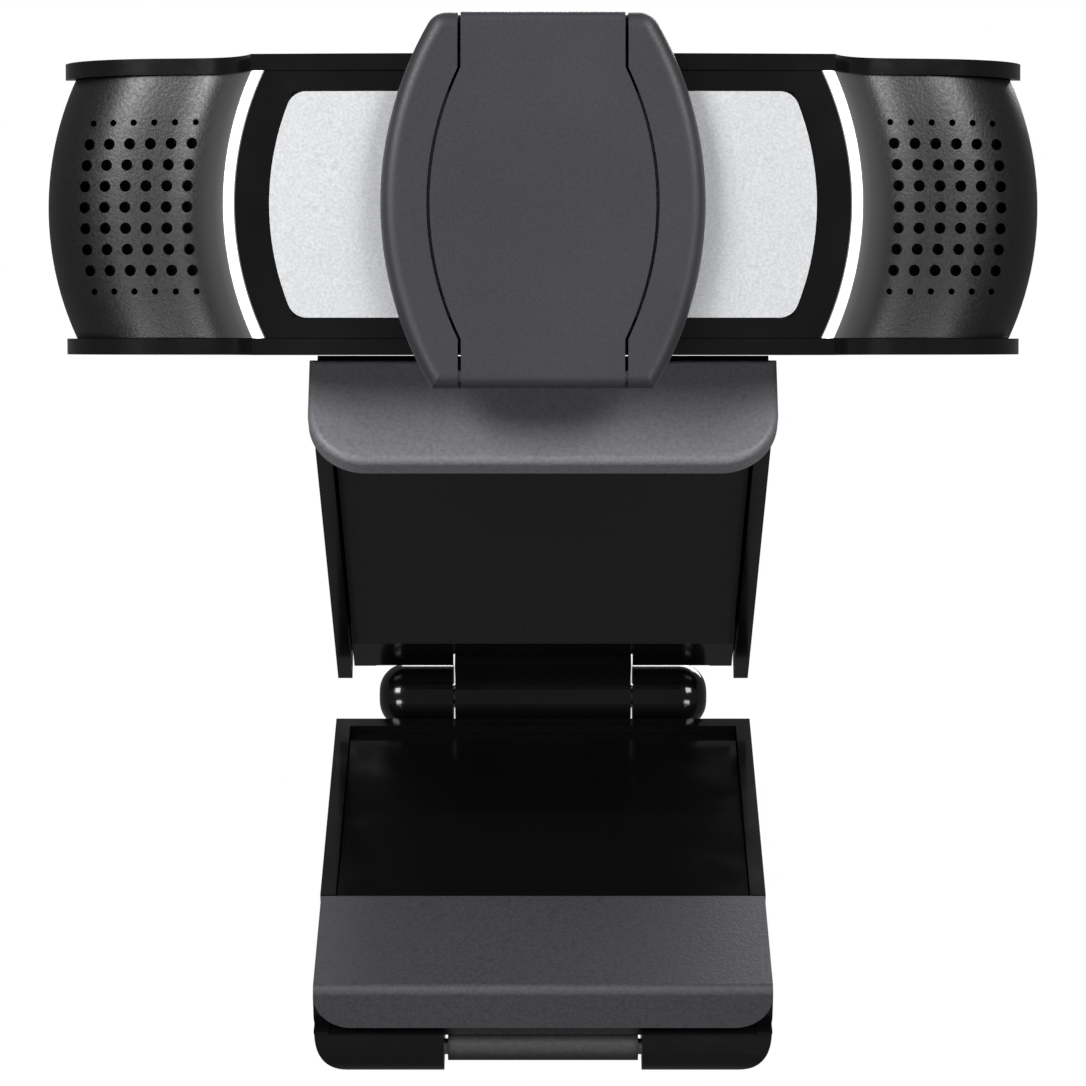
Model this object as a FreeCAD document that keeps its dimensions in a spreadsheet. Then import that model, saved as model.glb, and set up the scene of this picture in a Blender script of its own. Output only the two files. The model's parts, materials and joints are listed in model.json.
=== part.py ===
import FreeCAD, Part
import math
import os
import re

# Business webcam on a folding monitor clip, in millimetres.
# The part's frame: +X right, +Y back, +Z up; the origin is the centre of the rubber face under the upper jaw.
# Jaw frame: x right, y back along the jaw's plate, z its normal; the jaw leans by jaw_pitch about X.
# Leg frame: the jaw frame with the clip closed, turned by leg_open about the clip's hinge.
# Head frame: origin at the middle of the front face, y back, z up; it leans by head_pitch.

Vector = FreeCAD.Vector
doc = FreeCAD.newDocument("webcam")
sheet = doc.addObject("Spreadsheet::Sheet", "Sizes")

SIZES = [
    # upper jaw
    ("jaw_pitch", -28.8), ("clip_half", 21.4), ("wall", 1.5), ("jaw_front", -23.0),
    ("jaw_top", 5.6), ("flange_low", -1.0), ("jaw_edge", 1.2),
    ("panel_low", 1.0), ("panel_high", 2.2), ("panel_gap", 0.1), 
    ("lip_thick", 2.2), ("lip_low", -5.4), ("lip_high", 5.85), ("lip_corner", 5.5),
    ("lip_edge", 0.7), ("rib_along", -20.9), ("rib_thick", 1.5), ("rib_high", 8.7),
    # clip hinge
    ("hinge_along", 31.8), ("hinge_up", -1.0), ("centre_half", 9.2), ("centre_round", 3.3),
    ("outer_round", 3.4), ("outer_end", 17.2), ("hinge_gap", 0.2), ("clip_pin_round", 1.25),
    ("run_gap", 0.05), ("swing_gap", 0.3), ("dome", 2.8),
    # leg
    ("leg_open", 56.4), ("leg_front", -22.6), ("leg_top", -1.4),
    ("leg_step", 1.6), ("leg_apron", -21.2), ("leg_apron_low", -6.2), ("leg_nose", -24.5),
    ("leg_low_front", -10.7), ("leg_low_rear", -6.5), ("leg_corner", 5.2), ("leg_inner_corner", 1.5),
    ("leg_panel_top", -2.3), ("leg_panel_thick", 1.0), ("foot_rear", -6.3),
    ("insert_along", 6.0), ("insert_round", 4.0), ("thread_round", 2.55), ("boss_round", 5.2),
    ("insert_low", -9.4),
    # foot
    ("foot_along", -21.6), ("foot_up", -8.5), ("ear_round", 2.2), ("ear_clear", 0.3), ("ear_start", 9.3),
    ("foot_round", 1.3), ("foot_low", -7.5), ("foot_edge", 1.5), ("foot_knuckle_half", 8.95),
    ("foot_front", -22.5),
    ("foot_pin_round", 0.75), ("foot_top", -2.6), ("foot_pad_top", -1.35),
    ("foot_corner", 3.5), ("foot_drop", -5.8), ("apron_thick", 1.0), ("apron_edge", 0.8),
    ("foot_gap", 0.3),
    # neck
    ("tilt_along", -17.65), ("tilt_up", 7.87), ("tilt_round", 2.2), ("tilt_ear_in", 4.6),
    ("tilt_ear_out", 9.0), ("tilt_pin_round", 1.0), ("tilt_pin_half", 8.8), ("neck_half", 4.4),
    ("washer_gap", 0.02), ("table_round", 4.1), ("stub_round", 3.2), ("stub_top", 3.4), ("seat_gap", 0.04),
    ("pivot_back", 18.3), ("neck_drop", 2.54), ("head_pitch", 3.0),
    # head
    ("head_half", 46.8), ("head_tall", 13.66), ("head_deep", 24.0), ("side_round", 29.2),
    ("split", 15.5), ("head_wall", 1.5), ("rear_edge", 3.5), ("rim_thick", 1.5), ("rim_half", 45.1),
    ("rim_proud", 0.3), ("wing_wall", 1.3), ("wing_gap", 0.06), ("face_round", 400.0),
    ("face_outer", 28.05), ("face_back", 2.9), ("guide_in", 28.15), ("guide_out", 29.1),
    ("guide_proud", 0.15), ("bezel_thick", 1.5), ("silver_outer", 24.9), ("silver_tall", 10.25),
    ("silver_inner", 10.2), ("silver_thick", 0.4), ("silver_proud", 0.1), ("silver_corner", 1.8),
    ("hole_pitch", 1.95), ("hole_large", 0.53), ("hole_small", 0.3), ("hole_first", 32.9),
    ("ring_round", 7.3), ("ring_inner", 5.6), ("ring_front", -0.7), ("window_front", 0.1),
    ("window_thick", 0.8), ("barrel_round", 4.4), ("barrel_bore", 3.4), ("barrel_front", 1.3),
    ("holder_half", 5.6), ("holder_front", 6.2), ("board_front", 12.0), ("board_thick", 1.0),
    ("board_half", 20.0), ("board_tall", 9.0), ("post_side", 24.0), ("post_tall", 8.6),
    ("post_round", 2.4), ("screw_round", 1.1), ("screw_head", 2.1), ("standoff_side", 17.0),
    ("standoff_tall", 7.0), ("mic_side", 36.0), ("mic_round", 2.0), ("gland_round", 3.0),
    ("gland_up", 3.0), ("gland_long", 2.6), ("cord_round", 1.7),
    # shutter
    ("shut_half", 14.7), ("shut_round", 32.4), ("shut_over", 3.54), ("shut_under", 3.04), ("shut_edge", 1.4),
    ("shut_corner", 2.0),
    ("shut_front", -3.2), ("shut_back", -1.4), ("hook_back", 3.2), ("hook_gap", 0.1),
    ("flap_half", 10.2), ("flap_end", 7.4), ("flap_bulge", 12.2), ("flap_round", 28.0),
    ("flap_gap", 0.3), ("flap_skirt", 1.1), ("knuckle_round", 1.25), ("shut_pin_round", 0.6),
    ("shut_pin_out", 9.2), ("shut_pin_in", 4.0),
    # sizes that follow others
    ("jaw_rear", "=hinge_along - 4.1"), ("panel_rear", "=hinge_along - 3"),
    ("leg_rear", "=hinge_along - 4.1"), ("pad_long", "=hinge_along - 10"),
    ("pad_half", "=clip_half - 1.8"), ("lip_half", "=clip_half + 0.5"),
    ("leg_half", "=clip_half + 0.2"),
    ("foot_half", "=clip_half - 1.6"), ("foot_pad_half", "=clip_half + 0.1"),
    ("pivot_low", "=-(head_tall + neck_drop)"), ("shut_top", "=head_tall + shut_over"),
    ("shut_low", "=-(head_tall + shut_under)"),
]
for row, (alias, number) in enumerate(SIZES, start=1):
    sheet.set(f"A{row}", alias.replace("_", " "))
    sheet.set(f"B{row}", str(number))
    sheet.setAlias(f"B{row}", alias)
doc.recompute()
NAMES = {alias for alias, number in SIZES}
nodes = []


def mm(alias):
    """The sheet's value of one named size."""
    return float(sheet.get(alias))


def bound(text):
    """An expression in plain size names, turned into one on the sheet's cells."""
    return re.sub(r"[a-z_]+", lambda m: "Sizes." + m[0] if m[0] in NAMES else m[0], str(text))


def turn_expression(angle, along="0", up="0"):
    """A turn about X through the point (along, up) of the y-z plane."""
    return (f"create(<<placement>>; create(<<vector>>; 0; 0; 0); create(<<rotation>>; "
            f"create(<<vector>>; 1; 0; 0); {bound(angle)}); create(<<vector>>; 0; {bound(along)}; {bound(up)}))")


def shift_expression(along, up):
    return (f"create(<<placement>>; create(<<vector>>; 0; {bound(along)}; {bound(up)}); "
            f"create(<<rotation>>; create(<<vector>>; 1; 0; 0); 0))")


JAW = turn_expression("jaw_pitch")
LEG = JAW + " * " + turn_expression("leg_open", "hinge_along", "hinge_up")
HEAD = (JAW + " * " + shift_expression("tilt_along", "tilt_up") + " * "
        + turn_expression("head_pitch - jaw_pitch") + " * " + shift_expression("-pivot_back", "-pivot_low"))


def box(x, y, z):
    """A block between pairs of expressions."""
    solid = doc.addObject("Part::Box", "block")
    for size, place, (low, high) in zip(("Length", "Width", "Height"), "xyz", (x, y, z)):
        solid.setExpression(size, bound(f"({high}) - ({low})"))
        solid.setExpression("Placement.Base." + place, bound(low))
    return solid


TURNS = {"x": (Vector(0, 1, 0), 90), "y": (Vector(1, 0, 0), -90), "z": (Vector(0, 0, 1), 0)}


def rod(axis, radius, start, stop, first, second):
    """A cylinder along an axis; first and second place it on the two other axes, in x, y, z order."""
    solid = doc.addObject("Part::Cylinder", "rod")
    solid.setExpression("Radius", bound(radius))
    solid.setExpression("Height", bound(f"({stop}) - ({start})"))
    solid.Placement = FreeCAD.Placement(Vector(), FreeCAD.Rotation(*TURNS[axis]))
    others = [letter for letter in "xyz" if letter != axis]
    for letter, place in zip([axis] + others, (start, first, second)):
        solid.setExpression("Placement.Base." + letter, bound(place))
    return solid


def cut(base, *tools):
    result = doc.addObject("Part::Cut", "cut")
    result.Base = base
    result.Tool = tools[0] if len(tools) == 1 else fuse(*tools)
    return result


def fuse(*shapes):
    result = doc.addObject("Part::MultiFuse", "fusion")
    result.Shapes = list(shapes)
    return result


def common(*shapes):
    result = doc.addObject("Part::MultiCommon", "overlap")
    result.Shapes = list(shapes)
    return result


def rounded(base, radius, wanted):
    """Fillet the edges that the test picks from their centre and their direction."""
    doc.recompute()
    picked = []
    for number, edge in enumerate(base.Shape.Edges, start=1):
        ends = [vertex.Point for vertex in edge.Vertexes]
        run = (ends[-1] - ends[0]) if len(ends) > 1 else Vector()
        if wanted(edge.CenterOfMass, run):
            picked.append((number, radius, radius))
    result = doc.addObject("Part::Fillet", "rounding")
    result.Base = base
    result.Edges = picked
    return result


def barrel(half, tall, radius, y, wide=False):
    """A plate seen from the front as a barrel: straight top and bottom, and arcs at the sides.

    A wide one reaches further than its arcs' radius, so a block joins its two discs."""
    offset = f"(({half}) - ({radius}))"
    sides = [rod("y", radius, y[0], y[1], sign + offset, "0") for sign in ("-", "")]
    trim = box((f"-({half})", half), y, (f"-({tall})", tall))
    if wide:
        middle = box((f"-{offset}", offset), y, (f"-({tall})", tall))
        return common(fuse(middle, *sides), trim)
    return common(sides[0], sides[1], trim)


def free_shape(shape):
    """A shape that no primitive makes."""
    feature = doc.addObject("Part::Feature", "shape")
    feature.Shape = shape
    return feature


def node(label, shape, frame):
    """Name a sub-part and set it in its frame; a primitive keeps its own place inside a compound."""
    if shape.TypeId in ("Part::Box", "Part::Cylinder"):
        primitive = shape
        shape = doc.addObject("Part::Compound", "piece")
        shape.Links = [primitive]
    shape.Label = label
    shape.setExpression("Placement", frame)
    nodes.append(shape)
    return shape


def along_x(run, length=1.0):
    return abs(run.x) > length and abs(run.y) < 0.01 and abs(run.z) < 0.01


def along_y(run, length=1.0):
    return abs(run.y) > length and abs(run.x) < 0.01


def span(sign, inner, outer):
    """The x range between two distances from the middle, on one side."""
    return (inner, outer) if sign > 0 else (f"-({outer})", f"-({inner})")


# ---------------------------------------------------------------- upper jaw
def make_jaw():
    body = box(("-clip_half", "clip_half"), ("jaw_front", "jaw_rear"), ("flange_low", "jaw_top"))
    top = mm("jaw_top")
    half = mm("clip_half")
    body = rounded(body, mm("jaw_edge"), lambda c, run: abs(c.z - top) < 0.01 and abs(abs(c.x) - half) < 0.01)
    inside = box(("-(clip_half - wall)", "clip_half - wall"), ("jaw_front + wall", "jaw_rear - wall"),
                 ("flange_low - 1", "jaw_top - wall"))
    seat = box(("-(clip_half - wall)", "clip_half - wall"), ("jaw_front - 1", "jaw_rear + 1"),
               ("flange_low - 1", "panel_high"))
    swing = rod("x", "outer_round + swing_gap", "-(outer_end + swing_gap)", "outer_end + swing_gap",
                "hinge_along", "hinge_up")
    knuckle = rod("x", "centre_round", "-centre_half", "centre_half", "hinge_along", "hinge_up")
    web = box(("-centre_half", "centre_half"), ("jaw_rear - wall", "hinge_along"),
              ("hinge_up + 0.4", "hinge_up + centre_round"))
    bore = rod("x", "clip_pin_round + run_gap", "-outer_end", "outer_end", "hinge_along", "hinge_up")
    ears = []
    for sign in (-1, 1):
        x = span(sign, "tilt_ear_in", "tilt_ear_out")
        ears.append(rod("x", "tilt_round", x[0], x[1], "tilt_along", "tilt_up"))
        ears.append(box(x, ("tilt_along - tilt_round", "tilt_along + tilt_round"), ("jaw_top - wall", "tilt_up")))
    axle_bore = rod("x", "tilt_pin_round", "-tilt_pin_half", "tilt_pin_half", "tilt_along", "tilt_up")
    shell = cut(body, inside, seat, swing)
    # a low rib on each side of the neck closes the view between the lip and the head
    ribs = [box(span(sign, "tilt_ear_out - 0.1", "clip_half"), ("rib_along", "rib_along + rib_thick"),
                ("jaw_top - wall", "rib_high")) for sign in (-1, 1)]
    whole = cut(fuse(shell, knuckle, web, *ears, *ribs), bore, axle_bore)
    node("jaw_shell", whole, JAW)

    panel = box(("-(clip_half - wall - panel_gap)", "clip_half - wall - panel_gap"), ("jaw_front", "panel_rear"),
                ("panel_low", "panel_high"))
    notch = box(("-(centre_half + hinge_gap)", "centre_half + hinge_gap"), ("jaw_rear - wall - panel_gap",
                "panel_rear + 1"), ("panel_low - 1", "panel_high + 1"))
    swing_again = rod("x", "outer_round + swing_gap", "-(outer_end + swing_gap)", "outer_end + swing_gap",
                      "hinge_along", "hinge_up")
    node("jaw_panel", cut(panel, notch, swing_again), JAW)
    node("jaw_pad", box(("-pad_half", "pad_half"), ("-pad_long", "pad_long"), ("0", "panel_low")), JAW)

    lip = box(("-lip_half", "lip_half"), ("jaw_front - lip_thick", "jaw_front"), ("lip_low", "lip_high"))
    low = mm("lip_low")
    lip = rounded(lip, mm("lip_corner"), lambda c, run: along_y(run) and abs(c.z - low) < 0.01)
    lip = rounded(lip, mm("lip_edge"), lambda c, run: abs(c.y - mm("jaw_front") + mm("lip_thick")) < 0.01)
    node("lip_cover", lip, JAW)

    screws = []
    for sign in ("-", ""):
        for along in ("jaw_front + 8", "jaw_rear - 8"):
            side = sign + "(clip_half - 5)"
            screws.append(rod("z", "screw_round", "panel_high", "jaw_top - wall", side, along))
    node("jaw_screws", fuse(*screws), JAW)

    node("tilt_axle", rod("x", "tilt_pin_round", "-tilt_pin_half", "tilt_pin_half", "tilt_along", "tilt_up"), JAW)
    washers = []
    for sign in (-1, 1):
        x = span(sign, "neck_half + washer_gap", "tilt_ear_in")
        disc = rod("x", "tilt_round - 0.2", x[0], x[1], "tilt_along", "tilt_up")
        hole = rod("x", "tilt_pin_round", "-tilt_ear_out", "tilt_ear_out", "tilt_along", "tilt_up")
        washers.append(cut(disc, hole))
    node("tilt_washers", fuse(*washers), JAW)


# ---------------------------------------------------------------- leg
def side_prism(points, half):
    """A y-z outline drawn out to both sides."""
    corners = [Vector(-half, y, z) for y, z in points]
    return Part.Face(Part.makePolygon(corners + corners[:1])).extrude(Vector(2 * half, 0, 0))


def make_leg():
    front, rear, top = mm("leg_front"), mm("leg_rear"), mm("leg_top")
    step, foot_rear, wall = mm("leg_step"), mm("foot_rear"), mm("wall")
    low_front, low_rear, half = mm("leg_low_front"), mm("leg_low_rear"), mm("leg_half")
    slope = (low_rear - low_front) / (rear - front)
    apron, apron_low, nose = mm("leg_apron"), mm("leg_apron_low"), mm("leg_nose")
    outline = [(nose, low_front + slope * (nose - front)), (rear, low_rear), (rear, top), (foot_rear, top),
               (foot_rear, top - step), (apron, top - step), (apron, apron_low), (nose, apron_low)]
    tray = rounded(free_shape(side_prism(outline, half)), mm("leg_corner"),
                   lambda c, run: abs(abs(c.x) - half) < 0.01 and abs(run.y) > 40)
    outer = cut(tray, box(("-(leg_half + 1)", "leg_half + 1"), ("leg_nose - 1", "leg_front"),
                          ("leg_low_front - 2", "leg_top")))
    hollow = [(front - 5, low_front - 5 * slope + wall), (rear - wall, low_rear + wall - wall * slope),
              (rear - wall, top + 1), (front - 5, top + 1)]
    inner = rounded(free_shape(side_prism(hollow, half - wall)), mm("leg_inner_corner"),
                    lambda c, run: abs(abs(c.x) - half + wall) < 0.01 and abs(run.y) > 40 and c.z < top - 3)
    # the floor's front end is open where the foot swings, and the ears carry the foot's pin
    slot = box(("-(leg_half - wall)", "leg_half - wall"), ("leg_front - 1", "foot_along"),
               ("leg_low_front - 1", "leg_top"))
    gap = box(("-ear_start", "ear_start"), ("leg_front - 1", "foot_along + ear_round + 2.2"),
              ("leg_low_front - 1", "leg_top"))
    swing = rod("x", "centre_round + swing_gap", "-(centre_half + hinge_gap)", "centre_half + hinge_gap",
                "hinge_along", "hinge_up")
    pieces = [cut(outer, inner, slot, gap, swing)]
    for sign in (-1, 1):
        x = span(sign, "ear_start", "leg_half")
        pieces.append(common(rod("x", "ear_round", x[0], x[1], "foot_along", "foot_up"), tray))
        x = span(sign, "centre_half + hinge_gap", "outer_end")
        knuckle = rod("x", "outer_round", x[0], x[1], "hinge_along", "hinge_up")
        end = sign * mm("outer_end")
        pieces.append(rounded(knuckle, mm("dome"), lambda c, run: abs(c.x - end) < 0.01))
        arm = box(span(sign, "centre_half + hinge_gap", "outer_end - dome"), ("leg_rear - wall", "hinge_along"),
                  ("hinge_up - outer_round", "hinge_up - 1.2"))
        pieces.append(arm)
    boss = rod("z", "boss_round", "insert_low", "leg_panel_top - leg_panel_thick", "0", "insert_along")
    insert_hole = rod("z", "insert_round", "insert_low - 1", "leg_top", "0", "insert_along")
    pin_bore = rod("x", "clip_pin_round", "-(outer_end - 1.5)", "outer_end - 1.5", "hinge_along", "hinge_up")
    foot_bore = rod("x", "foot_pin_round", "-(leg_half - 1)", "leg_half - 1", "foot_along", "foot_up")
    node("leg_shell", cut(fuse(boss, *pieces), insert_hole, pin_bore, foot_bore), LEG)

    panel = box(("-(leg_half - wall - panel_gap)", "leg_half - wall - panel_gap"),
                ("foot_rear", "leg_rear - wall - panel_gap"), ("leg_panel_top - leg_panel_thick", "leg_panel_top"))
    node("leg_panel", panel, LEG)
    insert = rod("z", "insert_round", "insert_low", "leg_panel_top - leg_panel_thick", "0", "insert_along")
    thread = rod("z", "thread_round", "insert_low - 1", "leg_panel_top - leg_panel_thick - 1", "0", "insert_along")
    node("tripod_insert", cut(insert, thread), LEG)
    node("clip_pin", rod("x", "clip_pin_round", "-(outer_end - 1.5)", "outer_end - 1.5", "hinge_along",
                         "hinge_up"), LEG)
    node("foot_pin", rod("x", "foot_pin_round", "-(leg_half - 1)", "leg_half - 1", "foot_along", "foot_up"), LEG)


# ---------------------------------------------------------------- foot
def make_foot():
    block = box(("-foot_half", "foot_half"), ("foot_front + apron_thick", "foot_rear - foot_gap"),
                ("foot_low", "foot_top"))
    low = mm("foot_low")
    block = rounded(block, mm("foot_edge"), lambda c, run: along_y(run) and abs(c.z - low) < 0.01)
    clear = []
    for sign in (-1, 1):
        x = span(sign, "foot_knuckle_half", "foot_half + 1")
        clear.append(rod("x", "ear_round + ear_clear", x[0], x[1], "foot_along", "foot_up"))
    knuckle = rod("x", "foot_round", "-foot_knuckle_half", "foot_knuckle_half", "foot_along", "foot_up")
    bore = rod("x", "foot_pin_round + run_gap", "-foot_half", "foot_half", "foot_along", "foot_up")
    node("foot_block", cut(fuse(cut(block, *clear), knuckle), bore), LEG)

    front, drop, high = mm("foot_front"), mm("foot_drop"), mm("foot_pad_top")
    plate = box(("-foot_pad_half", "foot_pad_half"), ("foot_front + apron_thick", "foot_rear - foot_gap"),
                ("foot_top", "foot_pad_top"))
    apron = box(("-foot_pad_half", "foot_pad_half"), ("foot_front", "foot_front + apron_thick"),
                ("foot_drop", "foot_pad_top"))
    apron = rounded(apron, mm("foot_corner"), lambda c, run: along_y(run, 0.5) and abs(c.z - drop) < 0.01)
    apron = rounded(apron, mm("apron_edge"),
                    lambda c, run: along_x(run) and abs(c.y - front) < 0.01 and abs(c.z - high) < 0.01)
    pad = fuse(plate, apron)
    node("foot_pad", pad, LEG)


# ---------------------------------------------------------------- neck
def make_neck():
    knuckle = rod("x", "tilt_round", "-neck_half", "neck_half", "pivot_back", "pivot_low")
    column = rod("z", "stub_round", "pivot_low", "-head_tall - seat_gap", "0", "pivot_back")
    table = rod("z", "table_round", "-head_tall - seat_gap - 0.5", "-head_tall - seat_gap", "0", "pivot_back")
    stub = rod("z", "stub_round", "-head_tall - seat_gap", "-head_tall + stub_top", "0", "pivot_back")
    axle = rod("x", "tilt_pin_round + run_gap", "-tilt_ear_in", "tilt_ear_in", "pivot_back", "pivot_low")
    thread = rod("z", "screw_round", "-head_tall", "-head_tall + stub_top", "0", "pivot_back")
    node("neck_post", cut(fuse(knuckle, column, table, stub), axle, thread), HEAD)
    washer = cut(rod("z", "table_round", "-head_tall + head_wall + seat_gap",
                     "-head_tall + head_wall + seat_gap + 0.6", "0", "pivot_back"),
                 rod("z", "stub_round", "-head_tall", "0", "0", "pivot_back"))
    node("swivel_washer", washer, HEAD)
    screw = fuse(rod("z", "table_round", "-head_tall + stub_top", "-head_tall + stub_top + 1.2", "0", "pivot_back"),
                 rod("z", "screw_round", "-head_tall", "-head_tall + stub_top", "0", "pivot_back"))
    node("swivel_screw", screw, HEAD)


# ---------------------------------------------------------------- head
def side_shift(z):
    """How far the head's side arcs have moved in at the height z."""
    radius = mm("side_round")
    return radius - math.sqrt(radius ** 2 - z ** 2)


# The wing's front, as seen from above: it falls back from the light strip and then curves round the end.
WING = [(29.2, 1.2), (29.9, 3.4), (32.0, 6.0), (35.5, 7.1),
        (39.5, 7.8), (43.2, 9.6), (45.8, 12.6), (46.9, 15.5)]


def widened(x, end):
    """A place across the wing's outline, once the outline is stretched to end there."""
    start, last = WING[0][0], WING[-1][0]
    return start + (x - start) * (end - start) / (last - start)


def curve(points):
    line = Part.BSplineCurve()
    line.interpolate([Vector(*point) for point in points])
    return line


def wing_points(sign, z, inset):
    """The wing's outline at one height, moved in by an inset."""
    outline = curve([(x, y, 0) for x, y in WING])
    shift = side_shift(z)
    placed = []
    for x, y in WING:
        tangent = outline.tangent(outline.parameter(Vector(x, y, 0)))[0]
        inward = Vector(-tangent.y, tangent.x, 0) * inset
        placed.append((sign * (widened(x + inward.x, mm("head_half")) - shift), y + inward.y, z))
    placed[-1] = (placed[-1][0], mm("split"), z)
    return placed


def wing_shell(sign, outset, inset, tall):
    """A curved wall between two insets of the wing's outline."""
    start = mm("side_round")
    sections = []
    for step in range(7):
        z = -tall + 2 * tall * step / 6
        outer = wing_points(sign, z, outset)
        inner = wing_points(sign, z, inset)[2:]
        inner_start = (sign * (start - side_shift(z)), mm("face_back") + mm("bezel_thick") + 0.2, z)
        outer_start = outer[0] if outset == 0 else inner_start
        if outset:
            outer = outer[2:]
            inner_start = (inner_start[0], inner_start[1] + inset - outset, z)
            outer = [outer_start] + outer
        inner = [inner_start] + inner
        edges = [curve(outer).toShape(), Part.makeLine(Vector(*outer[-1]), Vector(*inner[-1])),
                 curve(inner[::-1]).toShape(), Part.makeLine(Vector(*inner[0]), Vector(*outer[0]))]
        sections.append(Part.Wire(edges))
    return Part.makeLoft(sections, True, False)


def make_wings():
    tall = mm("head_tall") - mm("rim_thick") - mm("wing_gap")
    pitch = mm("hole_pitch")
    for sign, side in ((-1, "left"), (1, "right")):
        wall = wing_shell(sign, 0, mm("wing_wall"), tall)
        holes = []
        for line in range(-4, 5):
            end_line = abs(line) == 4
            radius = mm("hole_small") if end_line else mm("hole_large")
            for place in range(6):
                z = line * pitch
                x = sign * (mm("hole_first") + place * pitch - side_shift(z) * 0.8)
                holes.append(Part.makeCylinder(radius, 12, Vector(x, 4, z), Vector(0, 1, 0)))
        node("grille_" + side, free_shape(wall.cut(Part.makeCompound(holes))), HEAD)
        cloth = wing_shell(sign, mm("wing_wall"), mm("wing_wall") + 0.3, tall - 0.2)
        node("mic_cloth_" + side, free_shape(cloth), HEAD)


def rim_outline():
    """The rims' plan: level with the face in the middle, then the wings' sweep, a little outside them."""
    proud = mm("rim_proud")
    last = side_shift(mm("head_tall") - mm("rim_thick"))
    right = [(widened(x, mm("rim_half") + last) - last, y - proud) for x, y in WING]
    right[-1] = (right[-1][0], mm("split"))
    corner = right[0]
    face = Part.Arc(Vector(-corner[0], corner[1], 0), Vector(0, -proud, 0), Vector(corner[0], corner[1], 0))
    edges = [face.toShape(),
             curve([(x, y, 0) for x, y in right]).toShape(),
             Part.makeLine(Vector(right[-1][0], right[-1][1], 0), Vector(-right[-1][0], right[-1][1], 0)),
             curve([(-x, y, 0) for x, y in right[::-1]]).toShape()]
    return Part.Face(Part.Wire(edges))


def make_rims():
    for name, low in (("rim_upper", mm("head_tall") - mm("rim_thick")), ("rim_lower", -mm("head_tall"))):
        plate = rim_outline()
        plate.translate(Vector(0, 0, low))
        plate = free_shape(plate.extrude(Vector(0, 0, mm("rim_thick"))))
        if low < 0:
            plate = cut(plate, rod("z", "stub_round + run_gap", "-head_tall - 1", "0", "0", "pivot_back"))
        node(name, plate, HEAD)


def face_cylinder(change):
    """The gently curved front face, as a tall cylinder; change moves the face back."""
    radius = f"(face_round - ({change}))"
    return rod("z", radius, "-head_tall", "head_tall", "0", "face_round")


def make_front():
    tall = "head_tall - rim_thick - wing_gap"
    low = "-(head_tall - rim_thick - wing_gap)"
    slab = box(("-face_outer", "face_outer"), ("-1", "face_back"), (low, tall))
    plate = common(rod("y", "face_outer", "-1", "face_back", "0", "0"), slab, face_cylinder("0"))
    recesses = []
    for sign, side in ((-1, "left"), (1, "right")):
        area = box(span(sign, "0", "silver_outer"), ("-1", "silver_thick + 1"), ("-silver_tall", "silver_tall"))
        disc = rod("y", "silver_outer", "-1", "silver_thick + 1", "0", "0")
        core = rod("y", "silver_inner", "-2", "silver_thick + 2", "0", "0")
        sheet_shape = cut(common(area, disc, face_cylinder("-silver_proud")), core, face_cylinder("silver_thick"))
        outer_x = sign * math.sqrt(mm("silver_outer") ** 2 - mm("silver_tall") ** 2)
        sheet_shape = rounded(sheet_shape, mm("silver_corner"),
                              lambda c, run: abs(c.x - outer_x) < 0.1 and abs(run.y) > 0.2 and abs(run.z) < 0.1)
        node("silver_panel_" + side, sheet_shape, HEAD)
        recesses.append(cut(common(box(span(sign, "0", "silver_outer"), ("-1", "silver_thick + 1"),
                                       ("-silver_tall", "silver_tall")),
                                   rod("y", "silver_outer", "-1", "silver_thick + 1", "0", "0")),
                            rod("y", "silver_inner", "-2", "silver_thick + 2", "0", "0"),
                            face_cylinder("silver_thick")))
        ring = cut(rod("y", "guide_out", "-1", "face_back", "0", "0"), rod("y", "guide_in", "-2", "face_back + 1",
                                                                          "0", "0"))
        half = box(span(sign, "0", "guide_out"), ("-1", "face_back"), (low, tall))
        node("light_guide_" + side, common(ring, half, face_cylinder("-guide_proud")), HEAD)
    lens_hole = rod("y", "ring_round", "-2", "face_back + 1", "0", "0")
    node("faceplate", cut(plate, lens_hole, *recesses), HEAD)

    back = "face_back + bezel_thick"
    bezel = common(rod("y", "guide_out", "face_back", back, "0", "0"),
                   box(("-guide_out", "guide_out"), ("face_back", back), (low, tall)))
    posts = []
    holes = [rod("y", "barrel_round + 0.3", "face_back - 1", back + " + 1", "0", "0")]
    for side in ("-", ""):
        for level in ("-", ""):
            posts.append(rod("y", "post_round", back, "head_deep - head_wall", side + "post_side", level + "post_tall"))
            holes.append(rod("y", "screw_round", "head_deep - 9", "head_deep", side + "post_side",
                             level + "post_tall"))
            posts.append(rod("y", "post_round - 0.6", back, "board_front", side + "standoff_side",
                             level + "standoff_tall"))
            holes.append(rod("y", "screw_round - 0.3", "board_front - 3", "board_front", side + "standoff_side",
                             level + "standoff_tall"))
    node("front_frame", cut(fuse(bezel, *posts), *holes), HEAD)
    chips = [rod("y", "0.5", back, back + " + 0.5", f"{side}(guide_in + 0.4 - {shift})", level)
             for side in ("-", "") for level, shift in (("-8", "1.2"), ("0", "0"), ("8", "1.2"))]
    node("led_chips", fuse(*chips), HEAD)


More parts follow.
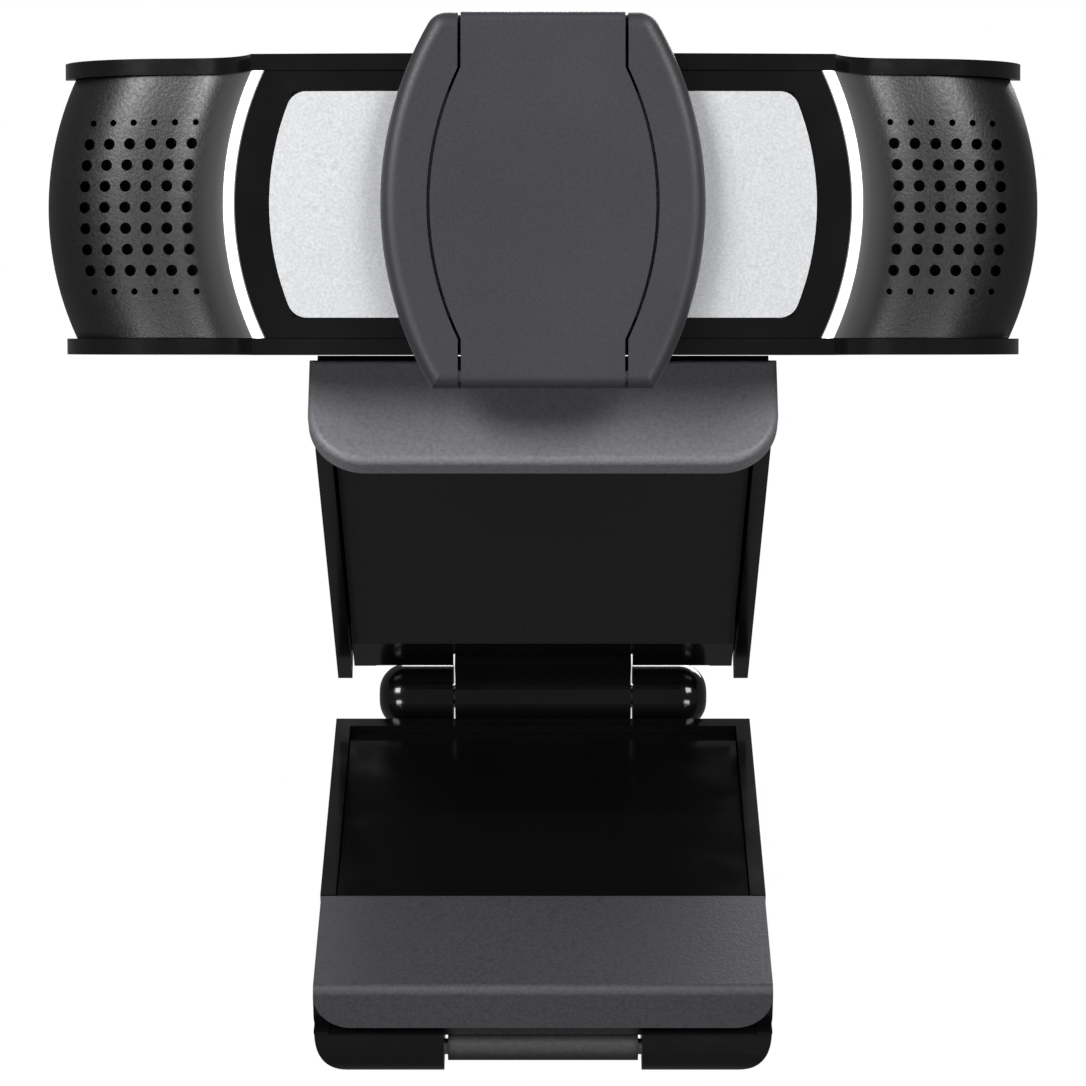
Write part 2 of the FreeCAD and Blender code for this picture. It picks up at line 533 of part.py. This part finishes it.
def make_rear():
    outer = barrel("head_half", "head_tall", "side_round", ("split", "head_deep"), wide=True)
    deep = mm("head_deep")
    outer = rounded(outer, mm("rear_edge"), lambda c, run: abs(c.y - deep) < 0.01)
    inner = barrel("head_half - head_wall", "head_tall - head_wall", "side_round - head_wall",
                   ("split - 1", "head_deep - head_wall"), wide=True)
    holes = [rod("z", "stub_round + run_gap", "-head_tall - 1", "-head_tall + head_wall + 1", "0", "pivot_back"),
             rod("y", "gland_round", "head_deep - head_wall - 1", "head_deep + 1", "0", "gland_up")]
    for side in ("-", ""):
        for level in ("-", ""):
            place = (side + "post_side", level + "post_tall")
            holes.append(rod("y", "screw_round", "head_deep - head_wall - 1", "head_deep + 1", *place))
            holes.append(rod("y", "screw_head", "head_deep - 0.8", "head_deep + 1", *place))
    node("rear_shell", cut(outer, inner, *holes), HEAD)
    screws = []
    for side in ("-", ""):
        for level in ("-", ""):
            place = (side + "post_side", level + "post_tall")
            screws.append(rod("y", "screw_round", "head_deep - 8", "head_deep - 0.8", *place))
            screws.append(cut(rod("y", "screw_head", "head_deep - 0.8", "head_deep - 0.1", *place),
                              box((place[0] + " - 0.8", place[0] + " + 0.8"), ("head_deep - 0.4", "head_deep"),
                                  (place[1] + " - 0.25", place[1] + " + 0.25"))))
    node("shell_screws", fuse(*screws), HEAD)
    gland = fuse(rod("y", "gland_round", "head_deep - head_wall", "head_deep + gland_long", "0", "gland_up"),
                 rod("y", "gland_round + 1", "head_deep - head_wall - 1.2", "head_deep - head_wall", "0", "gland_up"))
    inlet = rod("y", "cord_round", "head_deep - 1", "head_deep + gland_long + 1", "0", "gland_up")
    grooves = [cut(rod("y", "gland_round + 1", place, place + " + 0.5", "0", "gland_up"),
                   rod("y", "gland_round - 0.5", "head_deep", "head_deep + gland_long", "0", "gland_up"))
               for place in ("head_deep + 0.5", "head_deep + 1.5")]
    node("cable_gland", cut(gland, inlet, *grooves), HEAD)


def make_lens():
    ring = cut(rod("y", "ring_round", "ring_front", "face_back", "0", "0"),
               rod("y", "ring_inner", "ring_front - 1", "face_back + 1", "0", "0"))
    node("lens_ring", ring, HEAD)
    node("lens_window", rod("y", "ring_inner", "window_front", "window_front + window_thick", "0", "0"), HEAD)
    tube = cut(rod("y", "barrel_round", "barrel_front", "board_front - 1.5", "0", "0"),
               rod("y", "barrel_bore", "barrel_front - 1", "board_front", "0", "0"))
    node("lens_barrel", tube, HEAD)
    radius, front = mm("barrel_bore"), mm("barrel_front")
    dome = Part.makeSphere(6.0, Vector(0, front + 6.3, 0))
    glass = Part.makeCylinder(radius, 6, Vector(0, front, 0), Vector(0, 1, 0)).common(dome)
    second = Part.makeCylinder(radius, 1.2, Vector(0, front + 6.9, 0), Vector(0, 1, 0))
    node("lens_elements", free_shape(Part.makeCompound([glass, second])), HEAD)
    holder = cut(box(("-holder_half", "holder_half"), ("holder_front", "board_front"),
                     ("-holder_half", "holder_half")),
                 rod("y", "barrel_round", "holder_front - 1", "board_front - 1.5", "0", "0"),
                 box(("-3.4", "3.4"), ("board_front - 2", "board_front + 1"), ("-3.4", "3.4")))
    node("lens_holder", holder, HEAD)
    node("ir_filter", box(("-3.4", "3.4"), ("board_front - 1.5", "board_front - 1.1"), ("-3.4", "3.4")), HEAD)
    node("image_sensor", box(("-3.2", "3.2"), ("board_front - 0.8", "board_front"), ("-2.8", "2.8")), HEAD)


def make_electronics():
    holes = [rod("y", "screw_round - 0.3", "board_front - 1", "board_front + 2", side + "standoff_side",
                 level + "standoff_tall") for side in ("-", "") for level in ("-", "")]
    neck_room = rod("z", "table_round + 1.6", "-head_tall", "-head_tall + stub_top + 2", "0", "pivot_back")
    board = box(("-board_half", "board_half"), ("board_front", "board_front + board_thick"),
                ("-board_tall", "board_tall"))
    node("main_board", cut(board, neck_room, *holes), HEAD)
    back = "board_front + board_thick"
    screws = []
    for side in ("-", ""):
        for level in ("-", ""):
            place = (side + "standoff_side", level + "standoff_tall")
            screws.append(rod("y", "screw_round - 0.3", "board_front - 3", back, *place))
            screws.append(rod("y", "screw_head - 0.5", back, back + " + 0.9", *place))
    node("board_screws", fuse(*screws), HEAD)
    node("shield_can", box(("-7", "7"), (back, back + " + 1.8"), ("-4", "7")), HEAD)
    node("heat_spreader", box(("-12", "12"), (back + " + 1.8", back + " + 2.6"), ("-5", "8")), HEAD)
    node("board_connector", box(("9", "14"), (back, back + " + 1.6"), ("-7", "-4")), HEAD)
    capsules = []
    boots = []
    for sign in (-1, 1):
        side = f"{sign} * mic_side"
        capsules.append(rod("y", "mic_round", "split - 4", "split - 2", side, "0"))
        boots.append(cut(rod("y", "mic_round + 0.9", "split - 4.2", "head_deep - head_wall", side, "0"),
                         rod("y", "mic_round", "split - 5", "split - 2", side, "0")))
    node("mic_capsules", fuse(*capsules), HEAD)
    node("mic_boots", fuse(*boots), HEAD)


# ---------------------------------------------------------------- shutter
def flap_outline(gap, y, low, top):
    """The flap seen from the front: a straight strip with a barrel in its middle."""
    strip = box((f"-(flap_end + {gap})", f"flap_end + {gap}"), y, (low, top))
    bulge = barrel(f"flap_half + {gap}", f"flap_bulge + {gap}", "flap_round", y)
    return fuse(strip, bulge)


def make_shutter():
    # the blank is a barrel about the head's middle, trimmed to the shutter's top and bottom
    blank = common(barrel("shut_half", "shut_top", "shut_round", ("shut_front", "hook_back")),
                   box(("-shut_half", "shut_half"), ("shut_front", "hook_back"), ("shut_low", "shut_top")))
    front, top = mm("shut_front"), mm("shut_top")
    blank = rounded(blank, mm("shut_corner"), lambda c, run: along_y(run) and abs(c.z - top) < 0.01)
    blank = rounded(blank, mm("shut_edge"), lambda c, run: abs(c.y - front) < 0.01)
    head_room = box(("-(shut_half + 1)", "shut_half + 1"), ("shut_back", "hook_back + 1"),
                    ("-(head_tall + hook_gap)", "head_tall + hook_gap"))
    opening = flap_outline("flap_gap", ("shut_front - 1", "shut_back + 1"), "shut_low - 1", "shut_top + 1")
    skirt_room = box(("-(flap_end + flap_gap)", "flap_end + flap_gap"), ("shut_back - 1", "flap_skirt + flap_gap"),
                     ("shut_top - 5", "shut_top + 1"))
    knuckle_room = box(("-(flap_end + flap_gap)", "flap_end + flap_gap"),
                       ("shut_back - 1", "shut_front + 2 * knuckle_round + 0.4"), ("shut_low - 1", "-head_tall"))
    axis_y, axis_z = "shut_front + knuckle_round", "shut_low + knuckle_round"
    pin_holes = rod("x", "shut_pin_round", "-shut_pin_out", "shut_pin_out", axis_y, axis_z)
    node("shutter_frame", cut(blank, head_room, opening, skirt_room, knuckle_room, pin_holes), HEAD)

    pins = [rod("x", "shut_pin_round", *span(sign, "shut_pin_in", "shut_pin_out"), axis_y, axis_z)
            for sign in (-1, 1)]
    node("shutter_hinge_pins", fuse(*pins), HEAD)

    leaf = flap_outline("0", ("shut_front", "shut_back"), axis_z, "shut_top")
    skirt = box(("-flap_end", "flap_end"), ("shut_front", "flap_skirt"), ("head_tall + 2 * hook_gap", "shut_top"))
    knuckle = rod("x", "knuckle_round", "-flap_end", "flap_end", axis_y, axis_z)
    bore = rod("x", "shut_pin_round + run_gap", "-flap_half", "flap_half", axis_y, axis_z)
    flap = fuse(leaf, skirt, knuckle)
    flap = rounded(flap, 0.8, lambda c, run: abs(c.y - front) < 0.01 and abs(c.z - top) < 0.01 and along_x(run))
    node("shutter_flap", cut(flap, bore), HEAD)


make_jaw()
make_leg()
make_foot()
make_neck()
make_wings()
make_rims()
make_front()
make_rear()
make_lens()
make_electronics()
make_shutter()
doc.recompute()

faults = [f"{item.Name} {item.State}" for item in doc.Objects if {"Invalid", "Error"} & set(item.State)]
for part in nodes:
    if part.Shape.isNull() or not part.Shape.isValid():
        faults.append(part.Label + " has no valid shape")
if faults:
    raise RuntimeError("; ".join(faults))
os.makedirs("parts", exist_ok=True)
for part in nodes:
    part.Shape.exportStep(f"parts/{part.Label}.step")
    print(part.Label, round(part.Shape.Volume, 2), len(part.Shape.Solids))
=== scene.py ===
import json
import math

import bpy
from mathutils import Matrix, Vector

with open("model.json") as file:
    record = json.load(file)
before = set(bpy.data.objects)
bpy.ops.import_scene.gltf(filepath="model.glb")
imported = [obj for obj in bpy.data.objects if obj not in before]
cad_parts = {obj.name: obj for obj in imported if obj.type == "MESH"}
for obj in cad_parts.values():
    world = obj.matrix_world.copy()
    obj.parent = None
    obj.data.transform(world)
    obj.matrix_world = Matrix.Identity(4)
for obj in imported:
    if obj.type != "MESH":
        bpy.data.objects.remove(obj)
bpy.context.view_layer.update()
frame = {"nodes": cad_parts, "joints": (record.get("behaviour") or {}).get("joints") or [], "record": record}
scene = bpy.context.scene
MM = 0.001
nodes = frame["nodes"]


# ---------------------------------------------------------------- the lens's axis
# It runs through the swivel's own axis, that far above the tilt hinge.
LENS_ABOVE_HINGE = 16.2 * MM
SWIVEL = next(joint for joint in frame["joints"] if joint["name"] == "head_pan")
UPRIGHT = Vector(SWIVEL["axis"]).normalized()
LENS_PLACE = Matrix.Translation(Vector(SWIVEL["pos_m"]) + UPRIGHT * LENS_ABOVE_HINGE)
LENS_TURN = Vector((0.0, 0.0, 1.0)).rotation_difference(UPRIGHT).to_matrix().to_4x4()
# from the coordinates of the head's nodes to ones whose y is the lens's axis
TO_LENS = (LENS_PLACE @ LENS_TURN).inverted() @ nodes["light_guide_left"].matrix_world
# radii about that axis, in millimetres: the edges of the light strip, and the reach of the painted glow on
# the wings, emission standing in for the strip's light falling on them
STRIP_INNER = 28.15
STRIP_OUTER = 29.1
PAINTED_GLOW_START = 28.6
PAINTED_GLOW_END = 35.0


# ---------------------------------------------------------------- camera
# A level camera in front of the clip's rubber face, far enough away to see the whole webcam.
CAMERA_PLACE = Vector((0.0, -390.2 * MM, -0.1 * MM))
LENS_MM = 131.3
SENSOR_MM = 36.0
CLIP_NEAR = 0.01
CLIP_FAR = 50.0


def make_camera():
    data = bpy.data.cameras.new("camera")
    data.lens = LENS_MM
    data.sensor_width = SENSOR_MM
    data.clip_start = CLIP_NEAR
    data.clip_end = CLIP_FAR
    camera = bpy.data.objects.new("camera", data)
    camera.location = CAMERA_PLACE
    camera.rotation_euler = (math.radians(90), 0, 0)
    scene.collection.objects.link(camera)
    scene.camera = camera


# ---------------------------------------------------------------- materials
def hex_colour(text):
    """An sRGB hex colour as a linear colour."""
    values = [int(text[i:i + 2], 16) / 255 for i in (1, 3, 5)]
    return tuple(v / 12.92 if v <= 0.04045 else ((v + 0.055) / 1.055) ** 2.4 for v in values) + (1.0,)


def add_node(owner, kind, settings=None, links=None):
    """A node of a material or the world, with its settings and links; a link comes from (node, output)."""
    node = owner.node_tree.nodes.new(kind)
    for name, value in (settings or {}).items():
        if name in node.inputs:
            node.inputs[name].default_value = value
        else:
            setattr(node, name, value)
    for name, (source, output) in (links or {}).items():
        owner.node_tree.links.new(source.outputs[output], node.inputs[name])
    return node


def new_material(name, **surface):
    """An empty node material with its shader; surface gives the shader's uniform values."""
    material = bpy.data.materials.new(name)
    material.use_nodes = True
    material.node_tree.nodes.clear()
    shader = add_node(material, "ShaderNodeBsdfPrincipled", surface)
    add_node(material, "ShaderNodeOutputMaterial", {}, {"Surface": (shader, "BSDF")})
    return material, shader


def connect(material, source, output, target, entry):
    material.node_tree.links.new(source.outputs[output], target.inputs[entry])


def per_mm(size):
    """The texture scale, in metres, of a pattern whose grains are that many millimetres apart."""
    return 1.0 / (size * MM)


def pattern(material, kind, spacing, settings):
    """A texture in the node's own coordinates, with its grains or lines that many millimetres apart."""
    place = add_node(material, "ShaderNodeTexCoord")
    return add_node(material, kind, {"Scale": per_mm(spacing), **settings}, {"Vector": (place, "Object")})


def grain(material, shader, size, depth, detail):
    """A moulded texture: bumps of one size and depth, both in millimetres."""
    texture = pattern(material, "ShaderNodeTexNoise", size, {"Detail": detail})
    bump = add_node(material, "ShaderNodeBump", {"Strength": 1.0, "Distance": depth * MM},
                    {"Height": (texture, "Fac")})
    connect(material, bump, "Normal", shader, "Normal")
    return texture


def shade_between(material, shader, source, output, entry, low, high, start=0.35, end=0.65):
    """Let a texture move a value or a colour between two limits."""
    ramp = add_node(material, "ShaderNodeValToRGB", {}, {"Fac": (source, output)})
    for element, place, value in zip(ramp.color_ramp.elements, (start, end), (low, high)):
        element.position = place
        element.color = value if isinstance(value, tuple) else (value, value, value, 1.0)
    connect(material, ramp, "Color", shader, entry)


def gloss_abs():
    """High-gloss ABS, polished in the mould: black, mirror-like, with faint handling marks."""
    material, shader = new_material("gloss_abs_black", **{"Base Color": hex_colour("#070708"),
                                    "Roughness": 0.14, "IOR": 1.48, "Coat Weight": 0.2,
                                    "Coat Roughness": 0.06})
    marks = pattern(material, "ShaderNodeTexNoise", 9.0, {"Detail": 5.0, "Roughness": 0.6})
    shade_between(material, shader, marks, "Fac", "Roughness", 0.1, 0.2)
    return material


def ring_reach(material, near, far):
    """How far a point is from the lens's axis: 0 at the near radius and 1 at the far one, in millimetres."""
    place = add_node(material, "ShaderNodeTexCoord")
    turned = add_node(material, "ShaderNodeMapping",
                      {"Rotation": TO_LENS.to_euler(), "Location": TO_LENS.translation},
                      {"Vector": (place, "Object")})
    flat = add_node(material, "ShaderNodeVectorMath", {"operation": "MULTIPLY"}, {0: (turned, "Vector")})
    flat.inputs[1].default_value = (1.0, 0.0, 1.0)
    reach = add_node(material, "ShaderNodeVectorMath", {"operation": "LENGTH"}, {0: (flat, "Vector")})
    return add_node(material, "ShaderNodeMapRange", {"From Min": near * MM, "From Max": far * MM},
                    {"Value": (reach, "Value")})


def colour_steps(material, source, output, steps):
    """A grey ramp through pairs of place and brightness."""
    ramp = add_node(material, "ShaderNodeValToRGB", {}, {"Fac": (source, output)})
    for place, _ in steps[1:-1]:
        ramp.color_ramp.elements.new(place)
    for element, (place, glow) in zip(ramp.color_ramp.elements, steps):
        element.color = (glow, glow, glow, 1.0)
    return ramp


def textured_abs(name, glow):
    """ABS from a spark-eroded mould: a fine even grain that breaks up the highlights.

    Beside the light strip it can take a painted glow, emission standing in for the strip's light falling on
    the wing, which dies away over a few millimetres."""
    material, shader = new_material(name, **{"Base Color": hex_colour("#0f0f10"), "Roughness": 0.36,
                                    "IOR": 1.5})
    texture = grain(material, shader, size=0.3, depth=0.018, detail=2.0)
    shade_between(material, shader, texture, "Fac", "Roughness", 0.31, 0.41)
    if glow:
        # painted glow: emission on the wing, brightest next to the strip, standing in for the strip's light
        # falling there
        painted_glow_fade = colour_steps(material, ring_reach(material, PAINTED_GLOW_START, PAINTED_GLOW_END), "Result",
                            ((0.0, 1.0), (0.25, 0.45), (0.55, 0.12), (1.0, 0.0)))
        connect(material, painted_glow_fade, "Color", shader, "Emission Color")
        shader.inputs["Emission Strength"].default_value = glow
    return material


def soft_touch():
    """Soft-touch painted polycarbonate: a warm dark grey with a broad satin sheen."""
    material, shader = new_material("soft_touch_polycarbonate_grey", **{"Base Color": hex_colour("#29292c"),
                                    "Roughness": 0.46, "IOR": 1.45, "Sheen Weight": 0.1,
                                    "Sheen Roughness": 0.4})
    texture = grain(material, shader, size=0.18, depth=0.006, detail=3.0)
    cloud = pattern(material, "ShaderNodeTexNoise", 14.0, {"Detail": 2.0})
    shade_between(material, shader, cloud, "Fac", "Base Color", hex_colour("#27272b"),
                  hex_colour("#2b2b30"))
    shade_between(material, shader, texture, "Fac", "Roughness", 0.42, 0.52)
    return material


# the leather-like grain, in millimetres: its pebbles, the waver of their outlines, and the fine grain
PEBBLE_SIZE = 0.3
PEBBLE_DEPTH = 0.03
WAVER_SIZE = 1.2
WAVER_REACH = 0.9
FINE_SIZE = 0.14
FINE_DEPTH = 0.02


def leather_grain(name, pebble, painted_crease_shade):
    """Thermoplastic rubber with a leather-like moulded grain: irregular pebbles and creases between them,
    the creases painted darker as painted shade.
    """
    material, shader = new_material(name, **{"Base Color": hex_colour(pebble), "Roughness": 0.5, "IOR": 1.5})
    place = add_node(material, "ShaderNodeTexCoord")
    waver = pattern(material, "ShaderNodeTexNoise", WAVER_SIZE, {"Detail": 2.0})
    mixed = add_node(material, "ShaderNodeMixRGB", {"Fac": WAVER_REACH * MM, "blend_type": "ADD"},
                     {"Color1": (place, "Object"), "Color2": (waver, "Color")})
    pebbles = add_node(material, "ShaderNodeTexVoronoi",
                       {"Scale": per_mm(PEBBLE_SIZE), "feature": "SMOOTH_F1"}, {"Vector": (mixed, "Color")})
    fine = pattern(material, "ShaderNodeTexNoise", FINE_SIZE, {"Detail": 2.0})
    coarse_bump = add_node(material, "ShaderNodeBump",
                           {"Strength": 0.7, "Distance": PEBBLE_DEPTH * MM, "invert": True},
                           {"Height": (pebbles, "Distance")})
    fine_bump = add_node(material, "ShaderNodeBump", {"Strength": 0.6, "Distance": FINE_DEPTH * MM},
                         {"Height": (fine, "Fac"), "Normal": (coarse_bump, "Normal")})
    connect(material, fine_bump, "Normal", shader, "Normal")
    # painted shade: the base colour darkens from the pebbles' tops into the creases between them
    shade_between(material, shader, pebbles, "Distance", "Base Color", hex_colour(pebble),
                  hex_colour(painted_crease_shade), start=0.1, end=0.7)
    shade_between(material, shader, fine, "Fac", "Roughness", 0.42, 0.58)
    return material


def pad_rubber():
    """Matte silicone rubber, pressed against a ground mould: it grips the screen and hardly shines."""
    material, shader = new_material("matte_silicone_rubber", **{"Base Color": hex_colour("#1c1c1e"),
                                    "Roughness": 0.72, "IOR": 1.41})
    texture = grain(material, shader, size=0.3, depth=0.02, detail=4.0)
    shade_between(material, shader, texture, "Fac", "Base Color", hex_colour("#19191b"),
                  hex_colour("#202022"))
    return material


def silver_paint():
    """Silver paint with aluminium flakes under satin lacquer: lighter and darker flakes in the base colour,
    partly the flakes' own tone and partly painted sparkle.
    """
    material, shader = new_material("aluminium_flake_paint", **{"Base Color": hex_colour("#b3b4b6"),
                                    "Metallic": 0.2, "Roughness": 0.5, "Coat Weight": 0.15,
                                    "Coat Roughness": 0.3})
    # real flakes are about 0.03 mm across; these are drawn coarse enough to show
    flakes = pattern(material, "ShaderNodeTexNoise", 0.24, {"Detail": 2.0, "Roughness": 0.7})
    # painted sparkle as well as flake tone: the base colour varies at random from flake to flake
    shade_between(material, shader, flakes, "Fac", "Base Color", hex_colour("#a8a9ab"),
                  hex_colour("#bebfc1"), start=0.3, end=0.7)
    shade_between(material, shader, flakes, "Fac", "Roughness", 0.42, 0.58, start=0.3, end=0.7)
    return material


def opal_acrylic():
    """Opal acrylic lit from behind by LEDs: brightest along its middle line and dim at its two edges."""
    material, shader = new_material("opal_acrylic_lit", **{"Base Color": hex_colour("#e8eaee"),
                                    "Roughness": 0.35, "IOR": 1.49, "Emission Color": hex_colour("#f7faff"),
                                    "Emission Strength": 8.0})
    glow = colour_steps(material, ring_reach(material, STRIP_INNER, STRIP_OUTER), "Result",
                        ((0.0, 0.03), (0.3, 0.5), (0.5, 1.0), (0.7, 0.5), (1.0, 0.03)))
    connect(material, glow, "Color", shader, "Emission Color")
    return material


def lens_glass():
    """Optical glass with an anti-reflection coating: nearly black, with a violet cast in its reflections."""
    material, shader = new_material("coated_optical_glass", **{"Base Color": hex_colour("#0b0a12"),
                                    "Roughness": 0.03, "IOR": 1.52, "Transmission Weight": 0.6,
                                    "Coat Weight": 1.0, "Coat Roughness": 0.02,
                                    "Coat Tint": hex_colour("#b9a5ff")})
    dust = pattern(material, "ShaderNodeTexNoise", 3.0, {"Detail": 6.0})
    shade_between(material, shader, dust, "Fac", "Roughness", 0.02, 0.06)
    return material


def turned_metal(name, low, high):
    """Turned bar stock: fine rings from the tool and a bright, slightly uneven surface."""
    material, shader = new_material(name, **{"Base Color": hex_colour(high), "Metallic": 1.0,
                                    "Roughness": 0.3})
    rings = pattern(material, "ShaderNodeTexWave", 0.25, {"Distortion": 1.5, "Detail": 2.0})
    shade_between(material, shader, rings, "Fac", "Roughness", 0.22, 0.38, start=0.2, end=0.8)
    shade_between(material, shader, rings, "Fac", "Base Color", hex_colour(low), hex_colour(high),
                  start=0.0, end=1.0)
    return material


def solder_mask():
    """Glass-fibre board under green solder mask, with the copper tracks just showing through."""
    material, shader = new_material("green_solder_mask", **{"Base Color": hex_colour("#0c3a22"),
                                    "Roughness": 0.35, "IOR": 1.5})
    tracks = pattern(material, "ShaderNodeTexBrick", 6.0,
                     {"Mortar Size": 0.04, "Mortar": hex_colour("#1c6a40"),
                      "Color1": hex_colour("#0c3a22"), "Color2": hex_colour("#0e4227")})
    connect(material, tracks, "Color", shader, "Base Color")
    return material


def moulded_nylon():
    """Glass-filled nylon, as moulded: dark, dry-looking and faintly mottled."""
    material, shader = new_material("glass_filled_nylon", **{"Base Color": hex_colour("#1b1b1c"),
                                    "Roughness": 0.55, "IOR": 1.53})
    texture = grain(material, shader, size=0.35, depth=0.02, detail=4.0)
    shade_between(material, shader, texture, "Fac", "Base Color", hex_colour("#161617"),
                  hex_colour("#222224"))
    return material


def acoustic_cloth():
    """Woven polyester cloth behind the microphone holes: a plain weave of fine black threads."""
    material, shader = new_material("woven_polyester_mesh", **{"Base Color": hex_colour("#060606"),
                                    "Roughness": 0.9})
    weave = pattern(material, "ShaderNodeTexChecker", 0.12,
                    {"Color1": hex_colour("#0b0b0b"), "Color2": hex_colour("#030303")})
    connect(material, weave, "Color", shader, "Base Color")
    return material


def make_materials():
    """One material for each of the record's slots, and two more for single pieces."""
    return {
        "satin_black": textured_abs("spark_textured_abs_black", 0.0),
        "gloss_black": gloss_abs(),
        "dark_grey": soft_touch(),
        # this copy of the rubber is painted lighter than the foot's copy of the same rubber: painted light
        "soft_grey": leather_grain("leather_grain_rubber_painted_lighter", "#6c6c70", "#5e5e62"),
        "pad_rubber": pad_rubber(),
        "silver": silver_paint(),
        "light_guide": opal_acrylic(),
        "lens_glass": lens_glass(),
        "steel": turned_metal("turned_steel", "#8f9092", "#b4b5b8"),
        "brass": turned_metal("turned_brass", "#a98a4a", "#d0b06a"),
        "board": solder_mask(),
        "dark_part": moulded_nylon(),
        "cloth": acoustic_cloth(),
        # the wings beside the light strip, with a painted glow: emission standing in for the strip's light
        # falling on them
        "painted_glow_black": textured_abs("spark_textured_abs_painted_glow", 0.16),
        # the foot's copy of the same rubber, painted darker: painted shade, while the lip's copy is painted
        # lighter
        "foot_grey_painted_shade": leather_grain("leather_grain_rubber_painted_darker", "#39393d", "#2f2f33"),
    }


SLOT_OF = {entry["node"]: entry["material_slot"] for entry in frame["record"]["subparts"]}
SLOT_OF.update({"foot_pad": "foot_grey_painted_shade", "grille_left": "painted_glow_black", "grille_right": "painted_glow_black"})


def dress_nodes(materials):
    """Give each node its material."""
    for name, thing in nodes.items():
        thing.data.materials.clear()
        thing.data.materials.append(materials[SLOT_OF[name]])


# ---------------------------------------------------------------- studio
# softboxes at the camera's right, each with a twin at its left: place and size in metres, power in watts
SIDE_LIGHTS = (
    ("softbox", (0.44, -0.54, 0.28), (0.3, 0.28), 4.6),
    ("top_softbox", (0.42, -0.3, 0.62), (0.3, 0.3), 1.6),
    ("low_softbox", (0.5, -0.8, -0.36), (0.4, 0.2), 3.0),
)
RIGHT_STRENGTH = 0.75
# how bright the world is where the camera sees it, and in reflections and shadows
WORLD_SEEN = 1.0
WORLD_FILL = 0.13
WHITE = (1, 1, 1, 1)


def area_light(name, place, size, power):
    """A white rectangular softbox that points at the middle of the webcam."""
    data = bpy.data.lights.new(name, "AREA")
    data.shape = "RECTANGLE"
    data.size, data.size_y = size
    data.energy = power
    lamp = bpy.data.objects.new(name, data)
    lamp.location = Vector(place)
    lamp.rotation_euler = (-Vector(place)).to_track_quat("-Z", "Y").to_euler()
    scene.collection.objects.link(lamp)


def make_studio():
    """White all round for the camera, nearly dark in reflections, and softboxes to shape the black parts."""
    world = bpy.data.worlds.new("studio")
    scene.world = world
    world.use_nodes = True
    world.node_tree.nodes.clear()
    path = add_node(world, "ShaderNodeLightPath")
    seen = add_node(world, "ShaderNodeBackground", {"Color": WHITE, "Strength": WORLD_SEEN})
    fill = add_node(world, "ShaderNodeBackground", {"Color": WHITE, "Strength": WORLD_FILL})
    mix = add_node(world, "ShaderNodeMixShader", {},
                   {"Fac": (path, "Is Camera Ray"), 1: (fill, "Background"), 2: (seen, "Background")})
    add_node(world, "ShaderNodeOutputWorld", {}, {"Surface": (mix, "Shader")})

    # pairs at the sides: one in the middle would draw a line along the hinge's barrel
    for side, sign, strength in (("left", -1, 1.0), ("right", 1, RIGHT_STRENGTH)):
        for name, (across, back, up), size, power in SIDE_LIGHTS:
            area_light(side + "_" + name, (across * sign, back, up), size, power * strength)
    area_light("back_softbox", (0.2, 0.8, 0.5), (0.7, 0.5), 7.0)
    scene.view_settings.view_transform = "Standard"
    scene.view_settings.look = "None"


make_camera()
dress_nodes(make_materials())
make_studio()
